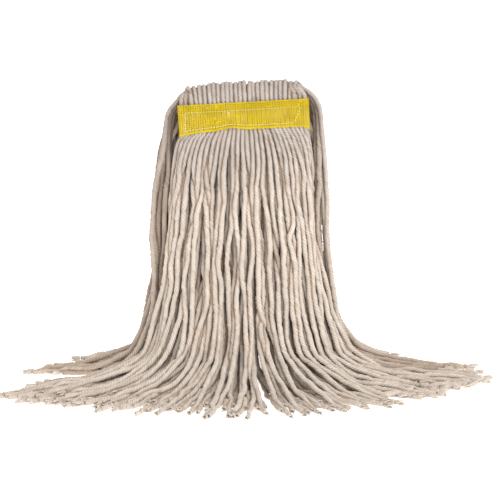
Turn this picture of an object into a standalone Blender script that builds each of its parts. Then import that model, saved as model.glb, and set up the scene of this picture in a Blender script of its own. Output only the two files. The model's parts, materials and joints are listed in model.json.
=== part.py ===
"""Cut-end cotton mop head standing on its splayed yarns. Metres, +Z up, front towards -Y.

Two headband tapes are sewn through the middle of a layer of yarns. The front ends fall straight down from
the lower edge of the tapes. The back ends fold over the crown, and fall behind and at both ends. All of
them turn outwards at the floor. The yarns are grouped as the hanks that they hang in.
"""

from math import cos, pi, radians, sin, sqrt, tan

import bmesh
import bpy
from mathutils import Vector

# Headband.
BAND_LENGTH = 0.150
BAND_HEIGHT = 0.034
BAND_SLANT = radians(3.2)  # the right end stands higher than the left
BAND_CENTRE_X = -0.007
BAND_CENTRE_Z = 0.3065
TAPE_THICKNESS = 0.0012
HEM_HEIGHT = 0.007
HEM_THICKNESS = 0.0020

# Yarn layer between the tapes, and the folds above it.
LAYER_THICKNESS = 0.0130
FOLD_OUTER_RADIUS = 0.0228
FOLD_INNER_RADIUS = 0.0090
FOLD_STEPS = 8
END_FOLD_DROP = 0.0060  # how much lower the crown is at its ends
CROWN_END_REACH = 0.0125  # how far the end bundles stand out past the tapes

# Sewing thread.
THREAD_RADIUS = 0.0004
SEAM_INSET = 0.0085  # from an end of the tape to the seam across it
LOWER_SEAM_INSET = 0.0045  # from the lower edge of the tape to the lower seam

GAP = 0.0003  # between neighbouring solids
SIDE_CLEARANCE = 0.0020  # below the end bundles, for the side falls to turn in
CROWN_Y = 0.0400  # the plane through the crown, behind the middle of the footprint

# Outside of the hanging yarns: height, then left, right, front and back, from the plane through the crown.
# The first is level with the foot of the crown, which slants with the headband.
GIRTHS = (
    (0.322, -0.0905, 0.0785, -0.0235, 0.0235),
    (0.290, -0.0975, 0.0835, -0.0250, 0.0285),
    (0.250, -0.1045, 0.0860, -0.0320, 0.0340),
    (0.200, -0.1080, 0.0875, -0.0400, 0.0385),
    (0.150, -0.1090, 0.0900, -0.0465, 0.0420),
    (0.110, -0.1135, 0.0965, -0.0520, 0.0460),
    (0.080, -0.1215, 0.1045, -0.0590, 0.0520),
    (0.055, -0.1320, 0.1140, -0.0690, 0.0620),
)
GIRTH_POWER = 3.0  # a rounded rectangle in plan

# The ends of the yarns lie along an ellipse on the floor.
FOOT_HALF_WIDTH = 0.2770
FOOT_HALF_DEPTH = 0.1700
# Share of the way out along the top and along the floor, and height, from the knee to the tip of a hank.
FOOT_STEPS = ((0.22, 0.45, 0.042), (0.50, 0.70, 0.032), (0.78, 0.88, 0.024), (1.00, 1.00, 0.015))
HANK_BULGE = 0.0015  # how far the outside of a hank rounds out between its edges

# Where the falls part from each other: inner corners, and angles round the foot.
CORNER_LEFT_X = -0.0690
CORNER_RIGHT_X = 0.0550
SIDE_INNER_LEFT_X = -0.0830
SIDE_INNER_RIGHT_X = 0.0690
FRONT_ANGLES = (-152.0, -26.0)
RIGHT_ANGLES = (-26.0, 33.0)
BACK_ANGLES = (33.0, 147.0)
LEFT_ANGLES = (147.0, 208.0)
FRONT_REACHES = (0.97, 0.99, 0.96, 1.00, 0.98, 1.00, 0.96)
BACK_REACHES = (0.96, 0.99, 1.00, 0.97, 1.00, 0.98, 0.96)
LEFT_REACHES = (0.98, 1.00, 0.97)
RIGHT_REACHES = (0.97, 1.00, 0.98)

COTTON = ("undyed_cotton_yarn", (0.54, 0.46, 0.38, 1.0), 0.95)
TAPE = ("yellow_mesh_tape", (0.72, 0.54, 0.04, 1.0), 0.80)
THREAD = ("polyester_sewing_thread", (0.78, 0.72, 0.62, 1.0), 0.70)


def clear_scene():
    for old in list(bpy.data.objects):
        bpy.data.objects.remove(old, do_unlink=True)


def material(finish):
    name, colour, roughness = finish
    found = bpy.data.materials.get(name)
    if found:
        return found
    made = bpy.data.materials.new(name)
    made.use_nodes = True
    shader = made.node_tree.nodes["Principled BSDF"]
    shader.inputs["Base Color"].default_value = colour
    shader.inputs["Roughness"].default_value = roughness
    shader.inputs["Metallic"].default_value = 0.0
    return made


def place(name, data, finish, parent):
    data.materials.append(material(finish))
    made = bpy.data.objects.new(name, data)
    bpy.context.collection.objects.link(made)
    made.parent = parent
    return made


def pivot(name, location, slant=0.0):
    made = bpy.data.objects.new(name, None)
    made.location = location
    made.rotation_euler = (0.0, -slant, 0.0)
    bpy.context.collection.objects.link(made)
    return made


def loft(name, sections, finish, parent, origin=(0.0, 0.0, 0.0), crossed=()):
    """One closed solid through sections of equal length. The sides in crossed take the other diagonal."""
    shape = bmesh.new()
    shift = Vector(origin)
    rings = [[shape.verts.new(Vector(point) - shift) for point in section] for section in sections]
    count = len(rings[0])
    for ring, following in zip(rings, rings[1:]):
        for i in range(count):
            j = (i + 1) % count
            a, b, c, d = ring[i], ring[j], following[j], following[i]
            halves = ((a, b, d), (b, c, d)) if i in crossed else ((a, b, c), (a, c, d))
            for half in halves:
                shape.faces.new(half)
    shape.faces.new(rings[0])
    shape.faces.new(rings[-1])
    bmesh.ops.recalc_face_normals(shape, faces=shape.faces)
    data = bpy.data.meshes.new(name)
    shape.to_mesh(data)
    shape.free()
    return place(name, data, finish, parent)


def slab(x_low, x_high, outline):
    """Two equal sections, an outline in Y and Z at each end of a run along X."""
    return [[(x, y, z) for y, z in outline] for x in (x_low, x_high)]


# ---- Headband: tapes, threads and the yarns sewn between them -------------------------------------


def front_tape(band):
    inner = -FOLD_OUTER_RADIUS - GAP
    face = inner - TAPE_THICKNESS
    hem_face = inner - HEM_THICKNESS
    half = BAND_HEIGHT / 2
    hem = half - HEM_HEIGHT
    outline = [(inner, -half), (face, -half), (face, hem), (hem_face, hem), (hem_face, half), (inner, half)]
    loft("headband_front_tape", slab(-BAND_LENGTH / 2, BAND_LENGTH / 2, outline), TAPE, band)
    return face


def back_tape(band):
    inner = -FOLD_OUTER_RADIUS + LAYER_THICKNESS + GAP
    face = inner + TAPE_THICKNESS
    half = BAND_HEIGHT / 2
    outline = [(inner, -half), (face, -half), (face, half), (inner, half)]
    loft("headband_back_tape", slab(-BAND_LENGTH / 2, BAND_LENGTH / 2, outline), TAPE, band)
    return face


def thread(name, ends, depth, band):
    start, end = Vector((ends[0][0], depth, ends[0][1])), Vector((ends[1][0], depth, ends[1][1]))
    curve = bpy.data.curves.new(name, "CURVE")
    curve.dimensions = "3D"
    curve.bevel_depth = THREAD_RADIUS
    curve.bevel_resolution = 2
    curve.use_fill_caps = True
    line = curve.splines.new("POLY")
    steps = 6
    line.points.add(steps)
    for i, point in enumerate(line.points):
        point.co = (*start.lerp(end, i / steps), 1.0)
    place(name, curve, THREAD, band)


def seams(band, front_face, back_face):
    """Four seams that meet short of each other: needle thread in front, bobbin thread behind."""
    x = BAND_LENGTH / 2 - SEAM_INSET
    top = BAND_HEIGHT / 2 - HEM_HEIGHT - 4 * THREAD_RADIUS
    bottom = -BAND_HEIGHT / 2 + LOWER_SEAM_INSET
    clear = 4 * THREAD_RADIUS
    lines = {
        "top": ((-x, top), (x, top)),
        "bottom": ((-x, bottom), (x, bottom)),
        "left": ((-x + clear, top - clear), (-x + clear, bottom + clear)),
        "right": ((x - clear, top - clear), (x - SEAM_INSET, bottom + clear)),
    }
    stand_off = GAP + THREAD_RADIUS
    for side, ends in lines.items():
        thread("needle_thread_" + side, ends, front_face - stand_off, band)
        thread("bobbin_thread_" + side, ends, back_face + stand_off, band)


def sewn_yarns(band):
    front = -FOLD_OUTER_RADIUS
    back = front + LAYER_THICKNESS
    half = BAND_HEIGHT / 2 - GAP
    outline = [(front, -half), (back, -half), (back, half), (front, half)]
    reach = BAND_LENGTH / 2 - 5 * GAP
    loft("sewn_yarn_layer", slab(-reach, reach, outline), COTTON, band)


# ---- Crown: the yarns folding over from front to back ---------------------------------------------


def fold_section(x, drop):
    """A half ring in Y and Z, standing on the top of the sewn layer."""
    base = BAND_HEIGHT / 2 + GAP
    outer = [pi * i / FOLD_STEPS for i in range(FOLD_STEPS + 1)]
    ring = [(x, -FOLD_OUTER_RADIUS * cos(a), base + (FOLD_OUTER_RADIUS - drop) * sin(a)) for a in outer]
    hollow = FOLD_INNER_RADIUS * 0.8
    ring += [(x, FOLD_INNER_RADIUS * cos(a), base + hollow * sin(a)) for a in outer]
    return ring


def crown_drop(x):
    return END_FOLD_DROP * abs(2 * x / BAND_LENGTH) ** 4


def crown_folds(band, count=7):
    reach = BAND_LENGTH / 2 - 5 * GAP
    pitch = 2 * reach / count
    for i in range(count):
        low = -reach + i * pitch + GAP / 2
        high = low + pitch - GAP
        stations = (low, (low + high) / 2, high)
        sections = [fold_section(x, crown_drop(x)) for x in stations]
        loft(f"crown_fold_{i + 1}", sections, COTTON, band)


def crown_ends(band):
    """A bundle of yarns rounding each end of the crown, narrowing outwards."""
    base = BAND_HEIGHT / 2 + GAP
    for side, name in ((-1, "crown_end_left"), (1, "crown_end_right")):
        sections = []
        for share in (0.0, 0.4, 0.75, 1.0):
            x = side * (BAND_LENGTH / 2 + share * CROWN_END_REACH)
            depth = FOLD_OUTER_RADIUS * (0.84 - 0.34 * share * share)
            height = (FOLD_OUTER_RADIUS - END_FOLD_DROP) * sqrt(1.04 - share * share)
            angles = [pi * i / FOLD_STEPS for i in range(FOLD_STEPS + 1)]
            sections.append([(x, -depth * cos(a), base + height * sin(a)) for a in angles])
        loft(name, sections, COTTON, band)


# ---- Falls: hanks between rays that spread outwards, standing and then lying on the floor ------------


def foot_point(degrees):
    """A point of the footprint's ellipse, in X and in Y from the plane through the crown."""
    a = radians(degrees)
    return Vector((FOOT_HALF_WIDTH * cos(a), FOOT_HALF_DEPTH * sin(a) - CROWN_Y))


def rays(starts, angles):
    """Start and unit direction in plan, and length, of each ray from the crown to the footprint."""
    count = len(starts)
    found = []
    for i, start in enumerate(starts):
        foot = foot_point(angles[0] + (angles[1] - angles[0]) * i / (count - 1))
        found.append((Vector(start), (foot - Vector(start)).normalized(), (foot - Vector(start)).length))
    return found


def skin(ray, girth):
    """Distance along a ray to the outside of the yarns at the height of a girth."""
    start, way, length = ray
    left, right, front, back = girth[1:]
    middle = Vector(((left + right) / 2, (front + back) / 2))
    half_width, half_depth = (right - left) / 2, (back - front) / 2
    low, high = 0.0, length
    for _ in range(40):
        d = (low + high) / 2
        across, deep = start + way * d - middle
        inside = abs(across / half_width) ** GIRTH_POWER + abs(deep / half_depth) ** GIRTH_POWER
        low, high = (d, high) if inside < 1.0 else (low, d)
    return low


def crown_foot(x):
    """Height of the slanting plane that the folds and the end bundles stand on."""
    return BAND_CENTRE_Z + (BAND_HEIGHT / 2) / cos(BAND_SLANT) + (x - BAND_CENTRE_X) * tan(BAND_SLANT)


def edge(ray, side, girths, reach, first):
    """Outer and inner points down one side of a hank. Side is +1 or -1, towards the middle of the hank."""
    start, way, length = ray
    inward = Vector((-way.y, way.x)) * side * GAP
    outer, inner = [], []

    def put(row, d, z):
        spot = start + way * d + inward
        height = crown_foot(spot.x) - SIDE_CLEARANCE if z == GIRTHS[0][0] else z
        row.append(Vector((spot.x, spot.y + CROWN_Y, height)))

    for girth in girths[:-1]:
        put(outer, skin(ray, girth), girth[0])
        put(inner, first, girth[0])
    knee = skin(ray, girths[-1])
    put(outer, knee, girths[-1][0])
    put(inner, first, 0.0)
    tip = length * reach
    for out_share, in_share, height in FOOT_STEPS:
        put(outer, knee + (tip - knee) * out_share, height)
        put(inner, first + (tip - first) * in_share, 0.0)
    return outer, inner


def hank(name, near, far, firsts, girths, reach, hinge, top=None):
    """A hank between two rays. Top, if given, is its first section, where it leaves the headband."""
    outer_a, inner_a = edge(near, 1, girths, reach, firsts[0])
    outer_b, inner_b = edge(far, -1, girths, reach, firsts[1])
    sections = [] if top is None else [top]
    for i, (out_a, in_a, out_b, in_b) in enumerate(zip(outer_a, inner_a, outer_b, inner_b)):
        middle = (out_a + out_b) / 2
        away = (middle - (in_a + in_b) / 2).normalized()
        sections.append([in_a, out_a, middle + away * HANK_BULGE, out_b, in_b])
    loft(name, sections, COTTON, hinge, hinge.location, crossed=(0,))


def band_point(band, x, y, z):
    return band.matrix_world @ Vector((x, y, z))


def long_fall(kind, band, angles, reaches, hinge, girths, depths, height):
    """The front or the back fall: its tops share the length of the headband."""
    count = len(reaches)
    reach = BAND_LENGTH / 2 - 5 * GAP
    towards = 1 if depths[1] > 0 else -1
    shares = [i / count for i in range(count + 1)]
    if towards > 0:
        shares.reverse()
    corner_span = CORNER_RIGHT_X - CORNER_LEFT_X
    starts = [(CORNER_LEFT_X + corner_span * share, towards * GAP) for share in shares]
    lines = rays(starts, angles)
    for i in range(count):
        ends = [-reach + 2 * reach * share for share in (shares[i], shares[i + 1])]
        trim = GAP / 2 if ends[1] > ends[0] else -GAP / 2
        low, high = ends[0] + trim, ends[1] - trim
        spots = ((low, 0), (low, 1), ((low + high) / 2, 1), (high, 1), (high, 0))
        top = [band_point(band, x, depths[k], height) for x, k in spots]
        number = i + 1 if towards < 0 else count - i
        name = f"{kind}_hank_{number}"
        hank(name, lines[i], lines[i + 1], (0.0, 0.0), girths, reaches[i], hinge, top)


def side_fall(kind, corner_x, inner_x, angles, reaches, hinge):
    """The left or the right fall, from the end of the crown."""
    count = len(reaches)
    lines = rays([(corner_x, 0.0)] * (count + 1), angles)
    for i in range(count):
        firsts = [(inner_x - corner_x) / line[1].x for line in (lines[i], lines[i + 1])]
        name = f"{kind}_hank_{i + 1}"
        hank(name, lines[i], lines[i + 1], firsts, GIRTHS, reaches[i], hinge)


def falls(band):
    band_foot = BAND_CENTRE_Z - BAND_HEIGHT / 2
    fold_foot = BAND_CENTRE_Z + BAND_HEIGHT / 2
    below_tape = -BAND_HEIGHT / 2 - GAP
    below_fold = BAND_HEIGHT / 2
    layer_back = -FOLD_OUTER_RADIUS + LAYER_THICKNESS
    front_y = CROWN_Y - FOLD_OUTER_RADIUS - TAPE_THICKNESS
    front = pivot("front_fall_hinge", (BAND_CENTRE_X, front_y, band_foot))
    back = pivot("back_fall_hinge", (BAND_CENTRE_X, CROWN_Y + FOLD_OUTER_RADIUS, fold_foot))
    left_x, right_x = GIRTHS[0][1:3]
    left = pivot("left_fall_hinge", (left_x, CROWN_Y, crown_foot(left_x)))
    right = pivot("right_fall_hinge", (right_x, CROWN_Y, crown_foot(right_x)))
    front_depths = (layer_back, -FOLD_OUTER_RADIUS)
    back_depths = (FOLD_INNER_RADIUS, FOLD_OUTER_RADIUS)
    long_fall("front", band, FRONT_ANGLES, FRONT_REACHES, front, GIRTHS[2:], front_depths, below_tape)
    long_fall("back", band, BACK_ANGLES, BACK_REACHES, back, GIRTHS[2:], back_depths, below_fold)
    side_fall("left", CORNER_LEFT_X, SIDE_INNER_LEFT_X, LEFT_ANGLES, LEFT_REACHES, left)
    side_fall("right", CORNER_RIGHT_X, SIDE_INNER_RIGHT_X, RIGHT_ANGLES, RIGHT_REACHES, right)


clear_scene()
headband = pivot("headband", (BAND_CENTRE_X, CROWN_Y, BAND_CENTRE_Z), BAND_SLANT)
bpy.context.view_layer.update()
tape_face = front_tape(headband)
tape_back = back_tape(headband)
seams(headband, tape_face, tape_back)
sewn_yarns(headband)
crown_folds(headband)
crown_ends(headband)
falls(headband)
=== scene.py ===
import json
from math import cos, exp, pi, radians, sin

import bpy
import numpy as np
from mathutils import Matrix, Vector


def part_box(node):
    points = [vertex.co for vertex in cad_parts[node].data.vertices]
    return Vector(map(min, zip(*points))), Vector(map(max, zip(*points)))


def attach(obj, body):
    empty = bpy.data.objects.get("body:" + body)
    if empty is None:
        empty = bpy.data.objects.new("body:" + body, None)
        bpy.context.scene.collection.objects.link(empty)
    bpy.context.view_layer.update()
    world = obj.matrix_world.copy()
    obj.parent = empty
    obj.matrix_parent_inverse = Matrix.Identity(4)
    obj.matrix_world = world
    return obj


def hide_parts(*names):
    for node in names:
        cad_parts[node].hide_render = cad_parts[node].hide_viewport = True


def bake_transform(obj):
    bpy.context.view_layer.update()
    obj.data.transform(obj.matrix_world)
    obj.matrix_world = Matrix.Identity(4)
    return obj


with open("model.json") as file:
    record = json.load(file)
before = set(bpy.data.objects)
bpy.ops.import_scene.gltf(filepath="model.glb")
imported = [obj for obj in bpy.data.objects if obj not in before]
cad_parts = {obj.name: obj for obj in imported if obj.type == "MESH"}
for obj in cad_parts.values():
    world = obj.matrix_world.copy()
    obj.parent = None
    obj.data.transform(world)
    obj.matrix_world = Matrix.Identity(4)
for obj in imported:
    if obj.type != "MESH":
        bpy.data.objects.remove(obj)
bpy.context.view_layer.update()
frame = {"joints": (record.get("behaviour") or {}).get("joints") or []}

chance = np.random.default_rng(24)

# ---- Where the yarns are sewn ----------------------------------------------------------------------
# The mop head is a layer of cotton yarns sewn between two tapes across its middle. The front ends hang
# from the lower edge of the tapes; the back ends fold over the crown and hang behind and at both ends.

tape_low, tape_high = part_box("headband_front_tape")
fold_low, fold_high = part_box("crown_fold_4")
crown_y = (fold_low.y + fold_high.y) / 2
band_middle = np.array([(tape_low.x + tape_high.x) / 2, crown_y, (tape_low.z + tape_high.z) / 2])
band_slant = radians(3.2)
band_length = 0.150
band_height = 0.034
layer_front = -0.0228  # the front of the sewn yarns, from the plane through the crown


def on_band(along, out, up):
    """A point by its place along the slanting headband, its depth from the crown, and its height."""
    turned = np.array([along * cos(band_slant) - up * sin(band_slant), out, along * sin(band_slant) + up * cos(band_slant)])
    return band_middle + turned


# ---- Yarn routes -----------------------------------------------------------------------------------
# Each yarn hangs almost straight, then turns outwards at the floor and lies on it or on other yarns.
# Outside of the hanging yarns: height, then left, right, front and back, from the plane through the crown.

yarn_thickness = 0.0055
yarn_radius = yarn_thickness / 2
yarn_points = 112
front_length = 0.420  # from the sewn layer's middle to the cut end
back_length = 0.444
side_lengths = {"left": 0.487, "right": 0.534}
girths = np.array([
    (0.322, -0.0905, 0.0785, -0.0235, 0.0235),
    (0.290, -0.1005, 0.0845, -0.0255, 0.0285),
    (0.250, -0.1080, 0.0870, -0.0330, 0.0340),
    (0.200, -0.1115, 0.0885, -0.0400, 0.0385),
    (0.150, -0.1115, 0.0910, -0.0465, 0.0420),
    (0.110, -0.1140, 0.0960, -0.0520, 0.0460),
    (0.080, -0.1195, 0.1030, -0.0590, 0.0520),
    (0.055, -0.1280, 0.1110, -0.0690, 0.0620),
    (0.000, -0.1600, 0.1400, -0.0900, 0.0800),
])
corners = {"left": -0.069, "right": 0.055}
foot_half_width = 0.277
foot_half_depth = 0.170


def girth_at(height):
    return [np.interp(height, girths[::-1, 0], girths[::-1, side]) for side in (1, 2, 3, 4)]


def footprint(degrees):
    """A point on the ellipse where the cut ends lie, seen from above."""
    a = radians(degrees)
    return np.array([foot_half_width * cos(a), foot_half_depth * sin(a) - crown_y])


def outside(start, way, height, tuck):
    """Distance from start, along way, to the outside of the yarns at a height. Tuck narrows them at both ends."""
    left, right, front, back = girth_at(height)
    left, right = left + tuck, right - tuck
    centre = np.array([(left + right) / 2, (front + back) / 2])
    half = np.array([(right - left) / 2, (back - front) / 2])
    low, high = 0.0, 0.4
    for _ in range(26):
        d = (low + high) / 2
        if (np.abs((start + way * d - centre) / half) ** 3).sum() < 1:
            low = d
        else:
            high = d
    return low


def ease(t):
    t = np.clip(t, 0, 1)
    return t * t * (3 - 2 * t)


def fall(start_x, angle, tip_angle, layer, layers, heights, stray, reach, tuck=0.0, knee_top=0.040):
    """Points down one fall: down a ray that spreads from the crown, then out along the floor."""
    start = np.array([start_x, 0.0])
    way = footprint(angle) - start
    way /= np.linalg.norm(way)
    knee_height = knee_top * (1 - 0.15 * layer)
    points = []
    for height in [h for h in heights if h > knee_height + 0.012] + [knee_height]:
        skin = outside(start, way, height, tuck * ease((height - 0.07) / 0.12))
        depth = min(0.0068, (skin - 0.004) / layers) * layer
        away = skin - yarn_radius - depth + stray * np.exp(-((height - 0.09) / 0.05) ** 2)
        points.append((*(start + way * away), height + yarn_radius))
    knee = away
    for share in (0.06, 0.16, 0.30, 0.48, 0.68, 0.88, 1.1, 1.4):
        bent = footprint(angle + (tip_angle - angle) * ease(share * 1.15)) - start
        far = np.linalg.norm(bent)
        d = knee + (far * reach * (1 - 0.05 * layer) - knee) * share
        drop = max(0.0, 1 - share) ** 2.0
        points.append((*(start + bent / far * d), yarn_radius + knee_height * drop))
    return [np.array([x, y + crown_y, z]) for x, y, z in points]


def smooth_run(points, length):
    """A smooth line through the points, cut to the yarn's length, with evenly spaced points."""
    p = np.array([2 * points[0] - points[1], *points, 2 * points[-1] - points[-2]])
    t = np.linspace(0, 1, 10, endpoint=False)[:, None]
    spans = []
    for a, b, c, d in zip(p, p[1:], p[2:], p[3:]):
        spans.append(0.5 * (2 * b + (c - a) * t + (2 * a - 5 * b + 4 * c - d) * t ** 2 + (3 * b - a - 3 * c + d) * t ** 3))
    line = np.concatenate(spans)
    run = np.concatenate([[0], np.cumsum(np.linalg.norm(np.diff(line, axis=0), axis=1))])
    wanted = np.linspace(0, length, yarn_points)
    return np.stack([np.interp(wanted, run, line[:, k]) for k in range(3)], axis=1)


def bundle_angle(angle, bundles, gather):
    """The yarns of a bundle close up towards its middle at their cut ends."""
    nearest = min(bundles, key=lambda middle: abs(middle[0] - angle))
    return nearest[1] + (angle - nearest[0]) * gather + chance.normal(0, 1.3)


front_columns, back_columns, end_columns = 30, 24, 3
front_layers = 5
hang_heights = (0.272, 0.25, 0.225, 0.20, 0.175, 0.15, 0.13, 0.11, 0.093, 0.08, 0.066)
# Where a bundle leaves the crown, and where its ends lie: angles round the foot.
front_bundles = [(-144, -154), (-131, -140), (-118, -125), (-105, -109), (-90, -91), (-76, -72), (-62, -51), (-48, -30), (-35, -13)]
back_bundles = [(42, 24), (62, 63), (80, 79), (97, 101), (116, 118), (136, 154)]
end_bundles = {"left": [(158, 167), (176, 171), (200, 198)], "right": [(-18, -4), (2, 8), (22, 16)]}
yarns = []


def add_yarn(piece, points, length, body, held, layer):
    cut = length * (1 - 0.012 * layer) * (1 + chance.normal(0, 0.012))
    yarns.append({"piece": piece, "line": smooth_run(points, cut), "length": cut, "body": body, "held": held, "layer": layer})


for layer in range(front_layers):
    for column in range(front_columns):
        share = (column + 0.5 + 0.22 * (layer % 2) + chance.normal(0, 0.06)) / front_columns
        place = (share - 0.5) * 0.143
        depth = layer_front + yarn_radius + 0.0005 + 0.0024 * layer
        angle = -150 + 122 * share
        tip = bundle_angle(angle, front_bundles, 1.15)
        top = [on_band(place, depth, 0.004), on_band(place, depth, -0.006), on_band(place * 1.005, depth - 0.0004, -0.0165)]
        start_x = corners["left"] + (corners["right"] - corners["left"]) * share
        stray = chance.normal(0, 0.0010)
        hanging = fall(start_x, angle, tip, layer, front_layers, hang_heights, stray, 1.0, tuck=0.014)
        hank = min(7, int(share * 7) + 1)
        cut = front_length + (0.060 if share < 0.5 else 0.046) * abs(2 * share - 1) ** 3
        add_yarn(f"front_hank_{hank}", top + hanging, cut, "front_fall", 7, layer)

for layer in range(front_layers):
    for column in range(back_columns):
        share = (column + 0.5 + 0.45 * (layer % 2) + chance.normal(0, 0.05)) / back_columns
        place = (share - 0.5) * 0.121
        depth = layer_front + yarn_radius + 0.0003 + 0.0024 * layer
        radius = -layer_front - yarn_radius - 0.0007 - 0.0028 * layer + chance.normal(0, 0.0007)
        lean = chance.normal(0, 0.0005) + 0.004 * (2 * share - 1) ** 3
        top = [on_band(place, depth, -0.002), on_band(place, depth, 0.010)]
        for turn in (15, 45, 75, 105, 135, 165):
            crest = radius * sin(radians(turn)) * (1 - 0.24 * abs(2 * place / band_length) ** 3)
            top.append(on_band(place + lean * turn / 90, -radius * cos(radians(turn)), band_height / 2 + crest))
        angle = 144 - 108 * share
        tip = bundle_angle(angle, back_bundles, 1.0)
        start_x = corners["left"] + (corners["right"] - corners["left"]) * share
        stray = chance.normal(0, 0.0010)
        hanging = fall(start_x, angle, tip, layer, front_layers, (0.29,) + hang_heights, stray, 0.96, tuck=0.012, knee_top=0.028)
        hank = min(7, int(share * 7) + 1)
        cut = back_length + 0.034 * abs(2 * share - 1) ** 3
        add_yarn(f"back_hank_{hank}", top + hanging, cut, "back_fall", 21, layer)

# The end columns go over the shoulders of the crown, the front layer outermost, and hang beside the tapes.
shoulders = {
    "left": ((0.0690, 0.0300), (0.0775, 0.0200), (0.0855, 0.0112), (0.0900, -0.0012), (0.0925, -0.0200)),
    "right": ((0.0640, 0.0310), (0.0785, 0.0220), (0.0865, 0.0090), (0.0890, -0.0070), (0.0890, -0.0220)),
}
for side, way in (("left", -1), ("right", 1)):
    for layer in range(front_layers):
        for column in range(end_columns):
            share = (column + 0.5 + chance.normal(0, 0.06)) / end_columns
            place = way * (0.0716 - 0.0145 * share)
            depth = layer_front + yarn_radius + 0.0003 + 0.0024 * layer
            back = -0.0130 + 0.030 * share + 0.0052 * layer
            inner = 0.0034 * layer
            top = [on_band(place, depth, 0.0), on_band(place, depth, 0.012)]
            top.append(on_band(place + way * 0.0012, depth * 0.95 + inner * 0.3, band_height / 2 + 0.0045))
            for step, (along, up) in enumerate(shoulders[side]):
                swing = ease((step + 1) / 4)
                out = depth * (0.75 - 0.2 * step) * (1 - swing) + back * swing
                along = along - (1 - swing) * 0.012 * share - inner * (0.45 + 0.55 * swing)
                top.append(on_band(way * along, out, up - inner * (1 - 0.8 * swing) + 0.003 * share * (1 - swing)))
            angle = -24 + 54 * share if way > 0 else 206 - 56 * share
            tip = bundle_angle(angle, end_bundles[side], 0.8)
            stray = chance.normal(0, 0.001) + (0.0065 if (side, layer, column) == ("right", 0, 0) else 0)
            hanging = fall(corners[side], angle, tip, layer, front_layers, hang_heights[1:], stray, 0.98, knee_top=0.030)
            number = 3 - min(2, int(share * 3))
            add_yarn(f"{side}_hank_{number}", top + hanging, side_lengths[side], f"{side}_fall", 17, layer)
            # Painted shade: the inner end columns, set deeper beside the tapes, get darker cotton.
            yarns[-1]["shelter"] = (1.0, 0.9, 0.6)[column]

# ---- Settling --------------------------------------------------------------------------------------
# The yarns are limp but have body: each keeps its length, bends softly, stays out of the others and off
# the floor, and wanders a little, so that neighbours clump in twos and threes with dark slots between.

line = np.array([yarn["line"] for yarn in yarns])
count = len(line)
wander_steps = np.linspace(0, 1, yarn_points)
loose = np.array([ease((np.arange(yarn_points) - yarn["held"]) / 14) for yarn in yarns])[:, :, None]
for waves, amount in ((3, 0.0024), (6, 0.0020), (12, 0.0010)):
    knots = chance.normal(0, amount, (count, waves + 3, 3))
    at = np.linspace(0, 1, waves + 3)
    for k in range(3):
        line[:, :, k] += loose[:, :, 0] * np.array([np.interp(wander_steps, at, row) for row in knots[:, :, k]])
home = line.copy()
segment = np.array([yarn["length"] for yarn in yarns])[:, None, None] / (yarn_points - 1)
free = (loose > 0).astype(float)
spacing = yarn_thickness * 0.93


def near_pairs(points, reach):
    """Pairs of points of different yarns that are closer than reach, found cell by cell."""
    cell = np.floor((points - points.min(0)) / reach).astype(np.int64) + 1
    size = cell.max(0) + 2
    key = (cell[:, 0] * size[1] + cell[:, 1]) * size[2] + cell[:, 2]
    order = np.argsort(key, kind="stable")
    ranked = key[order]
    found = []
    steps = [(i, j, k) for i in (-1, 0, 1) for j in (-1, 0, 1) for k in (-1, 0, 1) if (i, j, k) >= (0, 0, 0)]
    for i, j, k in steps:
        other = ranked + (i * size[1] + j) * size[2] + k
        first = np.searchsorted(ranked, other, "left")
        many = np.searchsorted(ranked, other, "right") - first
        mine = np.repeat(np.arange(len(points)), many)
        theirs = np.arange(many.sum()) - np.repeat(np.cumsum(many) - many, many) + np.repeat(first, many)
        found.append(np.stack([order[mine], order[theirs]], axis=1))
    pairs = np.concatenate(found)
    pairs = pairs[pairs[:, 0] // yarn_points != pairs[:, 1] // yarn_points]
    pairs = pairs[(pairs[:, 0] != pairs[:, 1])]
    gap = np.linalg.norm(points[pairs[:, 0]] - points[pairs[:, 1]], axis=1)
    return pairs[gap < reach]


def push_apart(points, pairs, weight):
    """Moves overlapping points half of their overlap each."""
    apart = points[pairs[:, 0]] - points[pairs[:, 1]]
    gap = np.linalg.norm(apart, axis=1) + 1e-9
    close = gap < spacing
    a, b = pairs[close, 0], pairs[close, 1]
    move = apart[close] * (0.5 * (spacing - gap[close]) / gap[close])[:, None]
    touched = np.bincount(a, minlength=len(points)) + np.bincount(b, minlength=len(points))
    share = 1.0 / np.maximum(1, 0.5 * touched)
    for k in range(3):
        shift = np.bincount(a, move[:, k], len(points)) - np.bincount(b, move[:, k], len(points))
        points[:, k] += shift * share * weight


settle_rounds = 160
for turn in range(settle_rounds):
    flat = line.reshape(-1, 3)
    if turn % 8 == 0:
        pairs = near_pairs(flat, spacing * 1.35)
    line += free * (home - line) * (0.035 if turn < settle_rounds * 0.7 else 0.014)
    line[:, :, 2:] -= free * 0.00012
    middle = (line[:, :-2] + line[:, 2:]) / 2
    line[:, 1:-1] += free[:, 1:-1] * (middle - line[:, 1:-1]) * 0.08
    push_apart(flat, pairs, free.reshape(-1))
    for first in (0, 1):
        a, b = line[:, first:-1:2], line[:, first + 1::2]
        b = b[:, : a.shape[1]]
        a = a[:, : b.shape[1]]
        span = b - a
        long = np.linalg.norm(span, axis=2, keepdims=True)
        pull = span * (0.5 * (long - segment) / long)
        line[:, first:-1:2][:, : a.shape[1]] += pull * free[:, first:-1:2][:, : a.shape[1]]
        line[:, first + 1::2][:, : a.shape[1]] -= pull * free[:, first + 1::2][:, : a.shape[1]]
    line[:, :, 2] = np.maximum(line[:, :, 2], yarn_radius * 1.02)
for _ in range(2):
    line[:, 1:-1] += 0.35 * free[:, 1:-1] * ((line[:, :-2] + line[:, 2:]) / 2 - line[:, 1:-1])
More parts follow.
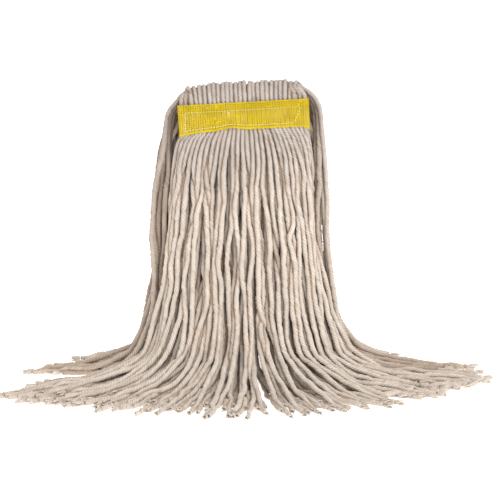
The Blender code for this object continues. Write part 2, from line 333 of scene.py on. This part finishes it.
for waves, amount in ((18, 0.00055), (34, 0.00040)):
    knots = chance.normal(0, amount, (count, waves, 3))
    for k in range(3):
        line[:, :, k] += loose[:, :, 0] * np.array([np.interp(wander_steps, np.linspace(0, 1, waves), row) for row in knots[:, :, k]])
line[:, :, 2] = np.maximum(line[:, :, 2], yarn_radius * 0.95)

# Painted shade: how closely each point is hemmed in by other yarns, and from which sides, so that the cotton can be
# darkened where neighbours crowd it, more so along the sewn part.
contact_reach = 0.0078
flat = line.reshape(-1, 3)
pairs = near_pairs(flat, contact_reach)
pairs = np.concatenate([pairs, pairs[:, ::-1]])
toward = flat[pairs[:, 1]] - flat[pairs[:, 0]]
gap = np.linalg.norm(toward, axis=1, keepdims=True) + 1e-9
toward /= gap
nearness = np.clip((contact_reach - gap[:, 0]) / 0.0026, 0, 1)
lean_sum = np.stack([np.bincount(pairs[:, 0], nearness * toward[:, k], len(flat)) for k in range(3)], axis=1)
spread_sum = np.zeros((len(flat), 3, 3))
for i in range(3):
    for j in range(3):
        spread_sum[:, i, j] = np.bincount(pairs[:, 0], nearness * toward[:, i] * toward[:, j], len(flat))
lean_sum = lean_sum.reshape(count, yarn_points, 3) * (1.4 - 0.4 * loose)
spread_sum = spread_sum.reshape(count, yarn_points, 9) * (1.4 - 0.4 * loose)

# ---- Cotton yarn -----------------------------------------------------------------------------------
# Undyed cotton, four plies laid together (S twist, about 12 mm a turn), soft, matt and a little hairy.
# The cut ends untwist into four swollen tufts. Specks of seed and leaf stay in the greige cotton.


def linear(code):
    """A material colour from its sRGB hex code."""
    parts = [int(code[i:i + 2], 16) / 255 for i in (0, 2, 4)]
    return (*[c / 12.92 if c <= 0.04045 else ((c + 0.055) / 1.055) ** 2.4 for c in parts], 1.0)


def node(tree, kind, settings=None, inputs=None, links=None):
    """Adds a shader node, sets it, and links other nodes' sockets into it."""
    made = tree.nodes.new(kind)
    for key, value in (settings or {}).items():
        setattr(made, key, value)
    for key, value in (inputs or {}).items():
        made.inputs[key].default_value = value
    for key, source in (links or {}).items():
        tree.links.new(source, made.inputs[key])
    return made


def new_material(name):
    made = bpy.data.materials.new(name)
    made.use_nodes = True
    return made, made.node_tree, made.node_tree.nodes["Principled BSDF"]


# Its colour also carries painted shade: in the ply grooves, where yarns crowd each other, on the inner and side yarns,
# and near the tapes.
cotton, tree, shader = new_material("greige_cotton_four_ply")
laid = node(tree, "ShaderNodeAttribute", {"attribute_name": "laid_straight"})
# Painted shade: the three parts of this attribute are painted shade masks, for the ply grooves, for yarns crowded by
# their neighbours, and for the inner and side yarns.
painted_shades = node(tree, "ShaderNodeAttribute", {"attribute_name": "painted_shades"})
painted_shade_parts = node(tree, "ShaderNodeSeparateXYZ", links={0: painted_shades.outputs["Vector"]})
stretch = node(tree, "ShaderNodeMapping", inputs={"Scale": (1.0, 1.0, 0.16)}, links={"Vector": laid.outputs["Vector"]})
fibres = node(tree, "ShaderNodeTexNoise", inputs={"Scale": 1900.0, "Detail": 3.0, "Roughness": 0.6}, links={"Vector": stretch.outputs[0]})
tone = node(tree, "ShaderNodeTexNoise", inputs={"Scale": 55.0, "Detail": 2.0}, links={"Vector": laid.outputs["Vector"]})
specks = node(tree, "ShaderNodeTexVoronoi", inputs={"Scale": 260.0}, links={"Vector": laid.outputs["Vector"]})
tint = node(tree, "ShaderNodeValToRGB", links={"Fac": tone.outputs["Fac"]})
tint.color_ramp.elements[0].position, tint.color_ramp.elements[0].color = 0.30, linear("C4BAAF")
tint.color_ramp.elements[1].position, tint.color_ramp.elements[1].color = 0.70, linear("D6CEC4")
streak = node(tree, "ShaderNodeMix", {"data_type": "RGBA", "blend_type": "MULTIPLY"}, {"Factor": 0.45}, {"A": tint.outputs["Color"]})
shade = node(tree, "ShaderNodeValToRGB", links={"Fac": fibres.outputs["Fac"]})
shade.color_ramp.elements[0].position, shade.color_ramp.elements[0].color = 0.28, linear("B9A288")
shade.color_ramp.elements[1].position, shade.color_ramp.elements[1].color = 0.62, linear("FFFFFF")
tree.links.new(shade.outputs["Color"], streak.inputs["B"])
# Painted shade in the ply grooves: the cotton is multiplied towards brown-tan 96754F where the plies meet, white on the
# ridges.
groove = node(tree, "ShaderNodeValToRGB", links={"Fac": painted_shade_parts.outputs["X"]})
groove.color_ramp.elements[0].position, groove.color_ramp.elements[0].color = 0.0, linear("96754F")
groove.color_ramp.elements[1].position, groove.color_ramp.elements[1].color = 0.9, linear("FFFFFF")
groove_shaded = node(tree, "ShaderNodeMix", {"data_type": "RGBA", "blend_type": "MULTIPLY"}, {"Factor": 0.36}, {"A": streak.outputs["Result"], "B": groove.outputs["Color"]})
# Painted shade where other yarns crowd close: the cotton is multiplied towards tan-brown A87E4E.
nook = node(tree, "ShaderNodeValToRGB", links={"Fac": painted_shade_parts.outputs["Y"]})
nook.color_ramp.elements[0].position, nook.color_ramp.elements[0].color = 0.12, linear("FFFFFF")
nook.color_ramp.elements[1].position, nook.color_ramp.elements[1].color = 0.95, linear("A87E4E")
nook_shaded = node(tree, "ShaderNodeMix", {"data_type": "RGBA", "blend_type": "MULTIPLY"}, {"Factor": 0.55}, {"A": groove_shaded.outputs["Result"], "B": nook.outputs["Color"]})
# Painted shade on the inner layers and side yarns: the lower a yarn's lightness value, the more it is multiplied
# towards AE8F6E.
inner_shade = node(tree, "ShaderNodeValToRGB", links={"Fac": painted_shade_parts.outputs["Z"]})
inner_shade.color_ramp.elements[0].position, inner_shade.color_ramp.elements[0].color = 0.30, linear("AE8F6E")
inner_shade.color_ramp.elements[1].position, inner_shade.color_ramp.elements[1].color = 1.0, linear("FFFFFF")
inner_shaded = node(tree, "ShaderNodeMix", {"data_type": "RGBA", "blend_type": "MULTIPLY"}, {"Factor": 0.5}, {"A": nook_shaded.outputs["Result"], "B": inner_shade.outputs["Color"]})
# Painted shade: the yarns are greyed darker (E3E5EA) near the tapes, over the crown and down the tops of the falls,
# fading out along each yarn.
top_shade_input = node(tree, "ShaderNodeAttribute", {"attribute_name": "top_shade"})
top_shaded = node(tree, "ShaderNodeMix", {"data_type": "RGBA", "blend_type": "MULTIPLY"}, {"B": linear("E3E5EA")}, {"Factor": top_shade_input.outputs["Fac"], "A": inner_shaded.outputs["Result"]})
rare = node(tree, "ShaderNodeMath", {"operation": "LESS_THAN"}, {1: 0.085}, {0: specks.outputs["Distance"]})
speck_tone = node(tree, "ShaderNodeMix", {"data_type": "RGBA"}, {"B": linear("A87F52")}, {"Factor": rare.outputs[0], "A": top_shaded.outputs["Result"]})
bump = node(tree, "ShaderNodeBump", inputs={"Strength": 0.5, "Distance": 0.0004}, links={"Height": fibres.outputs["Fac"]})
tree.links.new(speck_tone.outputs["Result"], shader.inputs["Base Color"])
tree.links.new(bump.outputs[0], shader.inputs["Normal"])
shader.inputs["Roughness"].default_value = 0.92
shader.inputs["Specular IOR Level"].default_value = 0.2
shader.inputs["Sheen Weight"].default_value = 0.25
shader.inputs["Sheen Roughness"].default_value = 0.5

ply_lay = 0.0145
tuft_length = 0.0140


def ring_places(length, coarse_to, fine):
    """Distances along a yarn of its rings: close together where it is seen, far apart inside the mop."""
    hidden = np.arange(0, coarse_to, 0.006)
    return np.concatenate([hidden, np.arange(coarse_to, length - tuft_length, fine)])


def frames(points):
    """Tangent and two side directions along each line, turned as little as possible."""
    ahead = np.gradient(points, axis=0)
    ahead /= np.linalg.norm(ahead, axis=1, keepdims=True)
    side = np.zeros_like(ahead)
    first = np.cross(ahead[0], (0.3, 1.0, 0.2))
    side[0] = first / np.linalg.norm(first)
    for i in range(1, len(points)):
        turned = side[i - 1] - ahead[i] * (side[i - 1] @ ahead[i])
        side[i] = turned / np.linalg.norm(turned)
    return ahead, side, np.cross(ahead, side)


def spin_yarn(yarn):
    """Mesh of one yarn: four rounded plies wound round each other, and a tuft at the cut end."""
    points = yarn["line"]
    run = np.concatenate([[0], np.cumsum(np.linalg.norm(np.diff(points, axis=0), axis=1))])
    body = ring_places(run[-1], yarn["coarse"], yarn["fine"])
    tuft = run[-1] - tuft_length + tuft_length * np.array([0.0, 0.2, 0.42, 0.64, 0.84, 1.0])
    places = np.concatenate([body, tuft])
    centre = np.stack([np.interp(places, run, points[:, k]) for k in range(3)], axis=1)
    for _ in range(2):
        centre[1:-1] = (centre[:-2] + 2 * centre[1:-1] + centre[2:]) / 4
    ahead, side, up = frames(centre)
    slack = np.interp(places, np.linspace(0, run[-1], 14), np.cumsum(chance.normal(0, 0.9, 14)))
    turn = yarn["phase"] - 2 * pi * np.maximum(0, places - yarn["coarse"]) / (ply_lay * chance.uniform(0.88, 1.14)) + slack
    sides = 12 if yarn["fine"] < 0.002 else 8
    groove_every = sides // 4
    rows = len(body)
    angle = turn[:rows, None] + 2 * pi * np.arange(sides)[None, :] / sides
    in_groove = np.arange(sides) % groove_every == 0
    lobe = np.where(in_groove, 0.86, 1.005)
    lumps = np.interp(body, np.linspace(0, run[-1], 30), chance.normal(1.0, 0.035, 30))[:, None]
    plies = [np.interp(body, np.linspace(0, run[-1], 80), chance.normal(0.0, 0.085, 80)) for _ in range(4)]
    knobs = np.stack([plies[i // groove_every] for i in range(sides)], axis=1)
    swollen = 1 + 0.07 * ease((body - 0.05) / 0.10)[:, None]
    thick = yarn_radius * swollen * (lumps + knobs) * lobe[None, :]
    ring = np.cos(angle)[:, :, None] * side[:rows, None, :] + np.sin(angle)[:, :, None] * up[:rows, None, :]
    verts = (centre[:rows, None, :] + ring * thick[:, :, None]).reshape(-1, 3)
    along = np.repeat(body[:, None] + yarn["offset"], sides, 1)
    straight = np.stack([np.cos(angle) * thick, np.sin(angle) * thick, along], axis=2)
    # Painted shade mask for the ply grooves: 0 in a groove, 1 on a ridge, lower where a ply is thin.
    ridge = np.repeat(np.where(in_groove, 0.0, 1.0)[None, :], rows, 0) * np.clip(0.9 + knobs * 3, 0, 1)
    run_share = [np.interp(body, run, column) for column in yarn["lean"].T]
    lean = np.stack(run_share, axis=1)
    spread = np.stack([np.interp(body, run, column) for column in yarn["spread"].T], axis=1).reshape(-1, 3, 3)
    # Painted shade mask: how much this side of the yarn faces nearby yarns, less towards the cut end.
    touch = 0.5 * np.einsum("nsi,nij,nsj->ns", ring, spread, ring) + 0.42 * np.einsum("nsi,ni->ns", ring, lean)
    touch *= 1 - 0.5 * ease((body - run[-1] + 0.17) / 0.08)[:, None]
    # The three painted shade masks of each point: ply groove, crowding by neighbours, and the yarn's inner or side
    # darkening.
    ridge = np.stack([ridge, np.clip(touch * 0.75, 0, 1), np.full_like(ridge, yarn["clean"])], axis=2)
    first = np.arange(rows - 1)[:, None] * sides
    here = np.arange(sides)[None, :]
    after = (here + 1) % sides
    faces = np.stack([first + here, first + after, first + sides + after, first + sides + here], axis=2).reshape(-1, 4).tolist()
    faces.append(list(range(sides))[::-1])
    faces.append([(rows - 1) * sides + i for i in range(sides)])
    all_verts, all_straight, all_ridge = [verts], [straight.reshape(-1, 3)], [ridge.reshape(-1, 3)]
    # Painted shade mask: 1 at the sewn end, fading out a few centimetres along the yarn, further on the side falls.
    top_shade_run = (0.05, 0.24) if yarn["body"] in ("left_fall", "right_fall") else (0.02, 0.11)
    top_shade = np.repeat(1 - ease((body - top_shade_run[0]) / top_shade_run[1]), sides)
    total = len(verts)
    round_angle = 2 * pi * np.arange(5) / 5
    for strand in range(11):
        base = turn[-6] + strand * 2 * pi / 11 + chance.normal(0, 0.3)
        spread = chance.uniform(0.1, 2.3) * 0.001
        curl = chance.uniform(0.4, 3.0)
        keep = chance.uniform(0.55, 1.0)
        for k in range(6):
            share = k / 5
            at = rows + k
            out = cos(base - curl * share) * side[at] + sin(base - curl * share) * up[at]
            w = 0.001 * (0.9, 1.05, 1.1, 1.05, 0.85, 0.15)[k] * chance.uniform(0.8, 1.2)
            middle = centre[rows] * (1 - keep) + centre[at] * keep
            middle = middle + out * (0.0014 + spread * share ** 1.2)
            middle[2] = max(middle[2], 0.0014)
            across = np.cross(ahead[at], out)
            all_verts.append(np.array([middle + out * cos(t) * w + across * sin(t) * w for t in round_angle]))
            laid_end = places[at] + yarn["offset"]
            all_straight.append(np.array([(cos(t) * w + 0.002 * strand, sin(t) * w, laid_end) for t in round_angle]))
            # Painted shade on the tuft: darker groove and crowding values near the yarn, fading towards the tips.
            all_ridge.append(np.tile(((0.4, 0.6, 0.7, 0.8, 1.0, 1.0)[k], (0.3, 0.35, 0.35, 0.3, 0.2, 0.1)[k], 1.0), (5, 1)))
            if k:
                low = total + (k - 1) * 5
                faces += [[low + i, low + (i + 1) % 5, low + 5 + (i + 1) % 5, low + 5 + i] for i in range(5)]
        faces.append([total + i for i in range(5)][::-1])
        faces.append([total + 25 + i for i in range(5)])
        total += 30
    top_shade = np.concatenate([top_shade, np.zeros(total - len(top_shade))])
    return np.concatenate(all_verts), faces, np.concatenate(all_straight), np.concatenate(all_ridge), top_shade


def yarn_piece(name, members):
    """One object of several yarns, with the straightened-out place of each point for its material."""
    verts, faces, straight, ridge, top_shade, total = [], [], [], [], [], 0
    for yarn in members:
        v, f, s, r, h = spin_yarn(yarn)
        top_shade.append(h)
        verts.append(v)
        straight.append(s)
        ridge.append(r)
        faces += [[i + total for i in face] for face in f]
        total += len(v)
    mesh = bpy.data.meshes.new(name)
    mesh.from_pydata(np.concatenate(verts).tolist(), [], faces)
    mesh.attributes.new("laid_straight", "FLOAT_VECTOR", "POINT").data.foreach_set("vector", np.concatenate(straight).astype(np.float32).ravel())
    # Painted shade masks per point: ply grooves, crowding by neighbours, inner and side yarns; then the painted shade
    # near the tapes.
    mesh.attributes.new("painted_shades", "FLOAT_VECTOR", "POINT").data.foreach_set("vector", np.concatenate(ridge).astype(np.float32).ravel())
    mesh.attributes.new("top_shade", "FLOAT", "POINT").data.foreach_set("value", np.concatenate(top_shade).astype(np.float32))
    mesh.shade_smooth()
    mesh.materials.append(cotton)
    made = bpy.data.objects.new(name, mesh)
    bpy.context.collection.objects.link(made)
    return made


hinges = {joint["child"]: joint for joint in frame["joints"]}
outward = {"front_fall": (0, -0.25, -1), "back_fall": (0, 1, -1), "left_fall": (-1, 0, -1), "right_fall": (1, 0, -1)}


def hang(made, body):
    """Bakes the piece's placement into its mesh; the way its fall swings out is worked out but not used."""
    way = np.array(outward[body], float)
    way /= np.linalg.norm(way)
    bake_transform(made)


for number, yarn in enumerate(yarns):
    yarn["line"], yarn["lean"], yarn["spread"] = line[number], lean_sum[number], spread_sum[number]
    outer = yarn["layer"] < (2 if yarn["body"] in ("front_fall", "back_fall") else 3)
    yarn["fine"] = 0.0014 if outer else 0.0023
    yarn["coarse"] = 0.27 if yarn["layer"] == 4 else 0.0
    yarn["phase"] = chance.uniform(0, 2 * pi)
    yarn["offset"] = number * 0.6
    # Painted shade: deeper layers get darker cotton, and the yarns of the side falls darker still, the left more than
    # the right.
    yarn["clean"] = (1.0, 0.86, 0.62, 0.45, 0.4)[yarn["layer"]] * chance.uniform(0.88, 1.0)
    side_shade = {"left_fall": 0.62, "right_fall": 0.82}.get(yarn["body"], 1.0)
    yarn["clean"] *= yarn.get("shelter", 1.0) * (side_shade if yarn["layer"] == 0 else side_shade ** 2)

reaches = [np.hypot(yarn["line"][-1, 0], yarn["line"][-1, 1] * 1.4) if yarn["layer"] < 2 else 0 for yarn in yarns]
longest = set(np.argsort(reaches)[-38:])
pieces = {}
for number, yarn in enumerate(yarns):
    if number in longest:
        name = f"long_yarn_{number:03d}"
        made = yarn_piece(name, [yarn])
        hang(made, yarn["body"])
    else:
        pieces.setdefault((yarn["piece"], yarn["body"]), []).append(yarn)
for (name, body), members in pieces.items():
    made = yarn_piece(name + "_yarns", members)
    hang(made, body)
    covered = [name]
    if body == "back_fall":
        covered.append("crown_fold_" + name[-1])
    if name == "front_hank_4":
        covered.append("sewn_yarn_layer")
    if name in ("left_hank_2", "right_hank_2"):
        covered.append("crown_end_" + name.split("_")[0])
    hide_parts(*covered)

# ---- Headband --------------------------------------------------------------------------------------
# Two tapes of open warp-knitted polyester mesh, dyed yellow, hold the yarns between them. The front one
# has a hem folded to the outside along its top, and its lower edge is a little wavy from the sewing.

mesh_columns, mesh_rows, hem_rows = 56, 14, 3
tape_top = band_height / 2
hem_height = 0.0070
front_face = tape_high.y + 0.0001 - crown_y
back_low, back_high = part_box("headband_back_tape")
back_face = back_low.y + 0.0002 - crown_y


def tape_drop(share):
    """How far the lower edge is below the top edge: the tape is pulled short where the yarns are sewn tight."""
    pulled = 0.0026 * exp(-((share - 0.40) / 0.08) ** 2)
    return 0.0310 + 0.0046 * exp(-share / 0.12) - pulled + 0.0038 * exp(-(1 - share) / 0.03)


def knitted_tape(name, node_name, face, front, hem):
    """A grid of ribs and bars with an opening in every cell, given a thickness."""
    across = [(i + part) / mesh_columns for i in range(mesh_columns) for part in (0.0, 0.23, 0.77)] + [1.0]
    down = [(j + part) / mesh_rows for j in range(mesh_rows) for part in (0.0, 0.26, 0.74)] + [1.0]
    if hem:
        turned_down = [-0.9 - (j + part) / hem_rows for j in range(hem_rows) for part in (0.0, 0.24, 0.76)] + [-1.9]
        down = turned_down[::-1] + [-0.5] + down
    ripple = [chance.uniform(0, 2 * pi) for _ in range(4)]
    shift = chance.normal(0, 0.00012, (len(down), len(across), 2))
    verts = []
    for j, v in enumerate(down):
        for i, u in enumerate(across):
            rib = 1.0 if i % 3 == 0 else 0.0
            wave = 0.00035 * sin(19 * u + ripple[0]) + 0.00025 * sin(43 * u + ripple[1] + 3 * v)
            if v >= 0:
                up = tape_top - v * tape_drop(u) * (1 if hem else 0.97) + 0.0003 * v * sin(71 * u + ripple[2])
                out = 0.0002 * rib
            elif v > -0.8:
                up, out = tape_top + 0.0006 + 0.0005 * rib, 0.0008
            else:
                up, out = tape_top - 0.0001 - (-v - 0.9) * hem_height + 0.0003 * sin(37 * u + ripple[3]), 0.0015 + 0.0002 * rib
            along = (u - 0.5) * band_length
            verts.append(on_band(along + shift[j, i, 0], face + front * (out + wave), up + shift[j, i, 1]))
    wide = len(across)
    faces = []
    for j in range(len(down) - 1):
        for i in range(wide - 1):
            open_row = abs(down[j + 1] - down[j]) * (mesh_rows if down[j] >= 0 else hem_rows) > 0.4 and -0.95 > down[j] or (down[j] >= 0 and (j - (len(down) - 1 - 3 * mesh_rows)) % 3 == 1)
            selvage = down[j] > 1 - 1 / mesh_rows - 0.01
            if selvage or not (i % 3 == 1 and open_row and chance.uniform() < 0.94):
                faces.append([j * wide + i, (j + 1) * wide + i, (j + 1) * wide + i + 1, j * wide + i + 1])
    mesh = bpy.data.meshes.new(name)
    mesh.from_pydata([tuple(v) for v in verts], [], faces)
    made = bpy.data.objects.new(name, mesh)
    bpy.context.collection.objects.link(made)
    bpy.ops.object.select_all(action="DESELECT")
    made.select_set(True)
    bpy.context.view_layer.objects.active = made
    thickness = made.modifiers.new("thickness", "SOLIDIFY")
    thickness.thickness = 0.00035
    thickness.offset = 0.0
    bpy.ops.object.modifier_apply(modifier="thickness")
    bpy.ops.object.shade_smooth_by_angle(angle=radians(50))
    mesh.materials.append(knit)
    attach(made, "headband")
    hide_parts(node_name)
    return made


knit, tree, shader = new_material("yellow_warp_knitted_polyester")
place = node(tree, "ShaderNodeTexCoord")
uneven = node(tree, "ShaderNodeTexNoise", inputs={"Scale": 70.0, "Detail": 3.0}, links={"Vector": place.outputs["Object"]})
loops = node(tree, "ShaderNodeTexNoise", inputs={"Scale": 1400.0, "Detail": 2.0}, links={"Vector": place.outputs["Object"]})
dye = node(tree, "ShaderNodeValToRGB", links={"Fac": uneven.outputs["Fac"]})
dye.color_ramp.elements[0].position, dye.color_ramp.elements[0].color = 0.32, linear("AC930C")
dye.color_ramp.elements[1].position, dye.color_ramp.elements[1].color = 0.68, linear("BFA415")
sheen_bump = node(tree, "ShaderNodeBump", inputs={"Strength": 0.6, "Distance": 0.0003}, links={"Height": loops.outputs["Fac"]})
tree.links.new(dye.outputs["Color"], shader.inputs["Base Color"])
tree.links.new(sheen_bump.outputs[0], shader.inputs["Normal"])
shader.inputs["Roughness"].default_value = 0.6
shader.inputs["Specular IOR Level"].default_value = 0.15

front_tape = knitted_tape("front_tape_knit", "headband_front_tape", front_face, -1, True)
back_tape = knitted_tape("back_tape_knit", "headband_back_tape", back_face, 1, False)

# ---- Stitching -------------------------------------------------------------------------------------
# Off-white cotton-wrapped thread in lockstitch, about 3.4 mm a stitch, through both tapes and the yarns:
# under the hem, above the lower edge, across the left end, and slanting across the right end.

thread, tree, shader = new_material("spun_polyester_sewing_thread")
shader.inputs["Base Color"].default_value = linear("DDCE88")
shader.inputs["Roughness"].default_value = 0.7
stitch_long, stitch_thick = 0.0034, 0.0009
left_row, right_row = -0.0672, 0.0655


def lower_row(along):
    return tape_top - tape_drop(along / band_length + 0.5) + 0.0048


seams = {
    "top": [(left_row, 0.0090), (0.0, 0.0087), (right_row, 0.0092)],
    "bottom": [(x, lower_row(x)) for x in np.linspace(left_row, 0.0570, 14)],
    "left": [(left_row, 0.0085), (left_row - 0.0006, lower_row(left_row) + 0.0005)],
    "right": [(right_row, 0.0088), (0.0573, lower_row(0.0573) + 0.0005)],
}


def stitch_row(name, corners, out, node_name):
    """Short threads that lie on the tape end to end and dip through it between."""
    row = np.array(corners)
    run = np.concatenate([[0], np.cumsum(np.linalg.norm(np.diff(row, axis=0), axis=1))])
    many = max(2, int(run[-1] / stitch_long))
    verts, faces = [], []
    for k in range(many):
        starts, ends = [np.array([np.interp(t, run, row[:, i]) for i in (0, 1)]) for t in (k * run[-1] / many, (k + 0.72) * run[-1] / many)]
        way = (ends - starts) / np.linalg.norm(ends - starts)
        cross = np.array([-way[1], way[0]])
        skew = chance.normal(0, 0.0002)
        for share, rise, size in ((0.0, 0.9, 0.5), (0.2, 0.15, 1.0), (0.5, 0.0, 1.1), (0.8, 0.15, 1.0), (1.0, 0.9, 0.5)):
            middle = starts + (ends - starts) * share + cross * skew * (share - 0.5)
            for turn in range(6):
                a = turn * pi / 3
                spot = middle + cross * cos(a) * stitch_thick * 0.5 * size
                depth = out * (1 - rise * 0.0007 / abs(out)) + sin(a) * stitch_thick * 0.4 * size
                verts.append(tuple(on_band(spot[0], depth, spot[1])))
        base = k * 30
        for ring in range(4):
            low = base + ring * 6
            faces += [[low + i, low + (i + 1) % 6, low + 6 + (i + 1) % 6, low + 6 + i] for i in range(6)]
        faces.append([base + i for i in range(6)][::-1])
        faces.append([base + 24 + i for i in range(6)])
    mesh = bpy.data.meshes.new(name)
    mesh.from_pydata(verts, [], faces)
    mesh.shade_smooth()
    mesh.materials.append(thread)
    made = bpy.data.objects.new(name, mesh)
    bpy.context.collection.objects.link(made)
    bpy.ops.object.select_all(action="DESELECT")
    made.select_set(True)
    bpy.context.view_layer.objects.active = made
    bpy.ops.object.mode_set(mode="EDIT")
    bpy.ops.mesh.select_all(action="SELECT")
    bpy.ops.mesh.normals_make_consistent(inside=False)
    bpy.ops.object.mode_set(mode="OBJECT")
    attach(made, "headband")
    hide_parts(node_name)
    return made


front_rows = [stitch_row(f"needle_stitches_{side}", seam, front_face - 0.0009, f"needle_thread_{side}") for side, seam in seams.items()]
back_rows = [stitch_row(f"bobbin_stitches_{side}", seam, back_face + 0.0009, f"bobbin_thread_{side}") for side, seam in seams.items()]

# ---- Studio ----------------------------------------------------------------------------------------
# A plain white acrylic floor, faintly lit from below, runs on behind; one broad soft light from the front right.

bpy.ops.mesh.primitive_plane_add(size=12, location=(0, 0, 0))
floor = bpy.context.object
floor.name = "studio_floor"
paper, tree, shader = new_material("white_acrylic_lit_from_below")
shader.inputs["Base Color"].default_value = linear("FBFBFB")
shader.inputs["Roughness"].default_value = 0.9
shader.inputs["Emission Color"].default_value = linear("FFFFFF")
shader.inputs["Emission Strength"].default_value = 0.85
floor.data.materials.append(paper)

world = bpy.data.worlds.new("studio")
world.use_nodes = True
backdrop = world.node_tree.nodes["Background"]
backdrop.inputs["Color"].default_value = (1, 1, 1, 1)
seen = node(world.node_tree, "ShaderNodeLightPath")
behind = node(world.node_tree, "ShaderNodeMapRange", inputs={"To Min": 0.88, "To Max": 1.0}, links={"Value": seen.outputs["Is Camera Ray"]})
world.node_tree.links.new(behind.outputs[0], backdrop.inputs["Strength"])
bpy.context.scene.world = world
bpy.context.scene.view_settings.view_transform = "Standard"


def soft_sun(name, place, angle, strength):
    """A broad light as even on the floor far away as on the mop."""
    lamp = bpy.data.lights.new(name, "SUN")
    lamp.angle = radians(angle)
    lamp.energy = strength
    made = bpy.data.objects.new(name, lamp)
    made.rotation_euler = (-Vector(place)).to_track_quat("-Z", "Y").to_euler()
    bpy.context.collection.objects.link(made)


soft_sun("key", (0.85, -1.5, 1.5), 40, 2.25)

# ---- Camera ----------------------------------------------------------------------------------------

target = Vector((0.0, 0.0, 0.1550))
tilt = radians(12)
distance = 2.4
camera_data = bpy.data.cameras.new("camera")
camera_data.lens = 150
camera = bpy.data.objects.new("camera", camera_data)
camera.location = target + Vector((0, -cos(tilt), sin(tilt))) * distance
camera.rotation_euler = (target - camera.location).to_track_quat("-Z", "Y").to_euler()
bpy.context.collection.objects.link(camera)
bpy.context.scene.camera = camera
